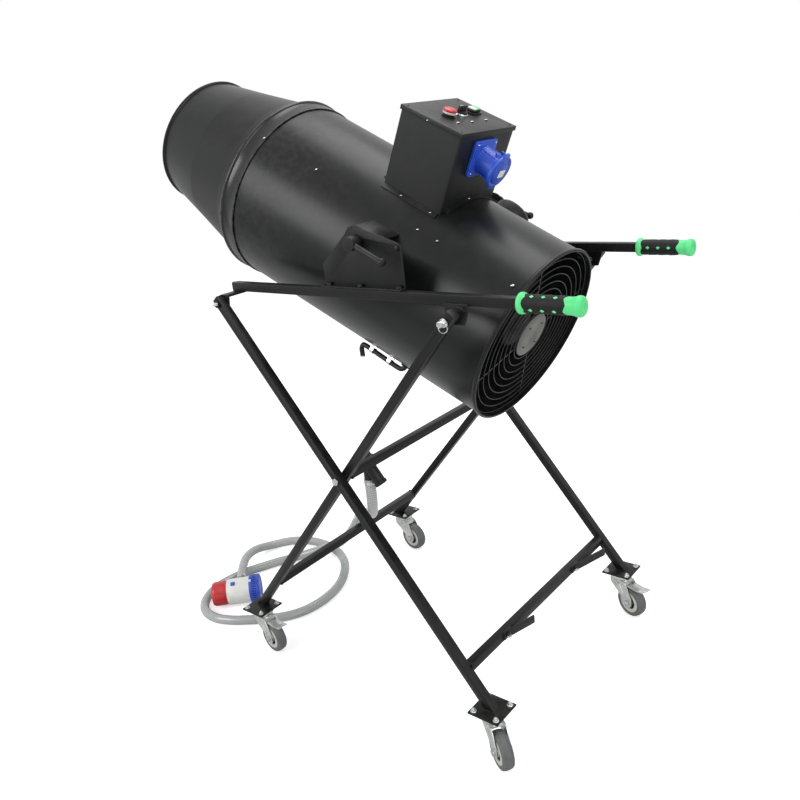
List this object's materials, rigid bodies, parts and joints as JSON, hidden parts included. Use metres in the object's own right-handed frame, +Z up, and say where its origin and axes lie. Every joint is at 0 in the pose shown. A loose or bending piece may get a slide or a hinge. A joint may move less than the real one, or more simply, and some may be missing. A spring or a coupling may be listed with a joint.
{
  "type": "foam machine",
  "caption": "Foam machine: a tilting black fan barrel with a control box and grips, on a folding X stand with casters, with a looped supply hose and a small pump.",
  "frame": {"origin": "on the floor, below the middle of the machine, on its centre plane between the two sides of the stand", "axes": "+X towards the grips at the rear, so the mouth points to -X; +Y to the right of a person behind the machine who looks along the barrel; +Z up"},
  "size_m": [1.4041, 0.7349, 1.4896],
  "materials": {
    "black_powder_coat": "satin black powder coat",
    "black_satin_sheet": "satin black paint on sheet steel",
    "zinc_plate": "bright zinc plating",
    "bare_steel": "plain steel",
    "grey_tyre": "grey rubber tread on a cream rim",
    "black_grip": "soft black sleeve with green ends",
    "blue_plastic": "satin blue",
    "red_plastic": "satin red",
    "green_plastic": "translucent green",
    "white_plastic": "satin white",
    "black_plastic": "fine matt texture",
    "clear_braided_hose": "clear hose over a braid"
  },
  "bodies": {
    "inner_frame": {"inner_leg_near": "black_powder_coat", "inner_leg_far": "black_powder_coat", "front_cross_bar": "black_powder_coat", "pivot_tube": "black_powder_coat", "hose_coupling": "black_plastic", "supply_hose": "clear_braided_hose", "pump_motor_cap": "red_plastic", "pump_body": "white_plastic", "pump_strainer": "blue_plastic", "caster_base_front_near": "zinc_plate", "caster_base_front_far": "zinc_plate"},
    "outer_frame": {"outer_leg_near": "black_powder_coat", "outer_leg_far": "black_powder_coat", "rear_cross_bar": "black_powder_coat", "pivot_rod": "bare_steel", "strap_hook_near": "black_powder_coat", "strap_hook_far": "black_powder_coat", "caster_base_rear_near": "zinc_plate", "caster_base_rear_far": "zinc_plate"},
    "rails": {"side_rail_near": "black_powder_coat", "side_rail_far": "black_powder_coat", "grip_near": "black_grip", "grip_far": "black_grip", "hinge_bracket_near": "black_powder_coat", "hinge_bracket_far": "black_powder_coat", "trunnion_plate_near": "black_powder_coat", "trunnion_plate_far": "black_powder_coat"},
    "barrel": {"drum_shell": "black_satin_sheet", "joint_band": "black_satin_sheet", "mouth_cone": "black_satin_sheet", "fan_guard": "black_powder_coat", "fan_motor": "black_plastic", "spray_ring": "bare_steel", "foam_screen": "bare_steel", "control_box": "black_satin_sheet", "box_lid": "black_satin_sheet", "power_inlet": "blue_plastic", "feed_pipe": "black_plastic", "terminal_cover": "black_plastic", "drum_lug_near": "black_satin_sheet", "drum_lug_far": "black_satin_sheet"},
    "caster_fork_front_near": {"caster_fork_front_near": "zinc_plate"},
    "caster_wheel_front_near": {"caster_wheel_front_near": "grey_tyre"},
    "brake_pedal_front_near": {"brake_pedal_front_near": "zinc_plate"},
    "caster_fork_front_far": {"caster_fork_front_far": "zinc_plate"},
    "caster_wheel_front_far": {"caster_wheel_front_far": "grey_tyre"},
    "caster_fork_rear_near": {"caster_fork_rear_near": "zinc_plate"},
    "caster_wheel_rear_near": {"caster_wheel_rear_near": "grey_tyre"},
    "caster_fork_rear_far": {"caster_fork_rear_far": "zinc_plate"},
    "caster_wheel_rear_far": {"caster_wheel_rear_far": "grey_tyre"},
    "brake_pedal_rear_far": {"brake_pedal_rear_far": "zinc_plate"},
    "lock_pin_near": {"lock_pin_near": "bare_steel"},
    "clamp_lever_near": {"clamp_lever_near": "black_plastic"},
    "lock_pin_far": {"lock_pin_far": "bare_steel"},
    "clamp_lever_far": {"clamp_lever_far": "black_plastic"},
    "impeller": {"impeller": "black_plastic"},
    "inlet_lid": {"inlet_lid": "blue_plastic"},
    "stop_button": {"stop_button": "red_plastic"},
    "selector_knob": {"selector_knob": "black_plastic"},
    "start_switch": {"start_switch": "green_plastic"}
  },
  "joints": [
    {"name": "scissor_fold", "type": "hinge", "parent": "inner_frame", "child": "outer_frame", "pos_m": [0.06, 0, 0.5955], "axis": [0, 1, 0], "range_deg": [0, 48]},
    {"name": "rails_level", "type": "hinge", "parent": "outer_frame", "child": "rails", "pos_m": [-0.246, 0, 0.9865], "axis": [0, 1, 0], "range_deg": [-26, 0]},
    {"name": "barrel_tilt", "type": "hinge", "parent": "rails", "child": "barrel", "pos_m": [0.143, 0, 1.1195], "axis": [0, 1, 0], "range_deg": [-36, 20]},
    {"name": "caster_swivel_front_near", "type": "hinge", "parent": "inner_frame", "child": "caster_fork_front_near", "pos_m": [-0.335, -0.312, 0.11], "axis": [0, 0, 1], "continuous": true},
    {"name": "wheel_roll_front_near", "type": "hinge", "parent": "caster_fork_front_near", "child": "caster_wheel_front_near", "pos_m": [-0.29836, -0.31715, 0.0425], "axis": [0.1392, 0.9903, 0], "continuous": true},
    {"name": "brake_front_near", "type": "hinge", "parent": "caster_fork_front_near", "child": "brake_pedal_front_near", "pos_m": [-0.30529, -0.31618, 0.0915], "axis": [0.1392, 0.9903, 0], "range_deg": [0, 10]},
    {"name": "caster_swivel_front_far", "type": "hinge", "parent": "inner_frame", "child": "caster_fork_front_far", "pos_m": [-0.335, 0.312, 0.11], "axis": [0, 0, 1], "continuous": true},
    {"name": "wheel_roll_front_far", "type": "hinge", "parent": "caster_fork_front_far", "child": "caster_wheel_front_far", "pos_m": [-0.2982, 0.30813, 0.0425], "axis": [0.1045, 0.9945, 0], "continuous": true},
    {"name": "caster_swivel_rear_near", "type": "hinge", "parent": "outer_frame", "child": "caster_fork_rear_near", "pos_m": [0.4265, -0.322, 0.11], "axis": [0, 0, 1], "continuous": true},
    {"name": "wheel_roll_rear_near", "type": "hinge", "parent": "caster_fork_rear_near", "child": "caster_wheel_rear_near", "pos_m": [0.45753, -0.34215, 0.0425], "axis": [0.5446, 0.8387, 0], "continuous": true},
    {"name": "caster_swivel_rear_far", "type": "hinge", "parent": "outer_frame", "child": "caster_fork_rear_far", "pos_m": [0.4265, 0.322, 0.11], "axis": [0, 0, 1], "continuous": true},
    {"name": "wheel_roll_rear_far", "type": "hinge", "parent": "caster_fork_rear_far", "child": "caster_wheel_rear_far", "pos_m": [0.46127, 0.30935, 0.0425], "axis": [0.342, 0.9397, 0], "continuous": true},
    {"name": "brake_rear_far", "type": "hinge", "parent": "caster_fork_rear_far", "child": "brake_pedal_rear_far", "pos_m": [0.45469, 0.31174, 0.0915], "axis": [0.342, 0.9397, 0], "range_deg": [0, 10]},
    {"name": "lock_pin_pull_near", "type": "slide", "parent": "inner_frame", "child": "lock_pin_near", "axis": [0, -1, 0], "range_m": [0, 0.03]},
    {"name": "clamp_turn_near", "type": "hinge", "parent": "rails", "child": "clamp_lever_near", "pos_m": [0.143, 0, 1.1195], "axis": [0, 1, 0], "range_deg": [-35, 35]},
    {"name": "lock_pin_pull_far", "type": "slide", "parent": "inner_frame", "child": "lock_pin_far", "axis": [0, 1, 0], "range_m": [0, 0.03]},
    {"name": "clamp_turn_far", "type": "hinge", "parent": "rails", "child": "clamp_lever_far", "pos_m": [0.143, 0, 1.1195], "axis": [0, 1, 0], "range_deg": [-35, 35]},
    {"name": "impeller_spin", "type": "hinge", "parent": "barrel", "child": "impeller", "pos_m": [0.24194, 0, 0.94081], "axis": [0.8996, 0, -0.4368], "continuous": true},
    {"name": "inlet_lid_hinge", "type": "hinge", "parent": "barrel", "child": "inlet_lid", "pos_m": [0.3556, -0.01, 1.2526], "axis": [0, -1, 0], "range_deg": [0, 100], "stiffness_Nm_per_rad": 0.02, "springref_deg": -45.84},
    {"name": "stop_press", "type": "slide", "parent": "barrel", "child": "stop_button", "axis": [-0.4368, 0, -0.8996], "range_m": [0, 0.004], "stiffness_N_per_m": 400, "springref_m": -0.002},
    {"name": "start_press", "type": "slide", "parent": "barrel", "child": "start_switch", "axis": [-0.4368, 0, -0.8996], "range_m": [0, 0.002], "stiffness_N_per_m": 400, "springref_m": -0.002},
    {"name": "selector_turn", "type": "hinge", "parent": "barrel", "child": "selector_knob", "pos_m": [0.24412, 0.004, 1.33796], "axis": [0.4368, 0, 0.8996], "range_deg": [-45, 45]}
  ],
  "couplings": [
    {"joint": "rails_level", "follows": "scissor_fold", "ratio": -0.52}
  ]
}
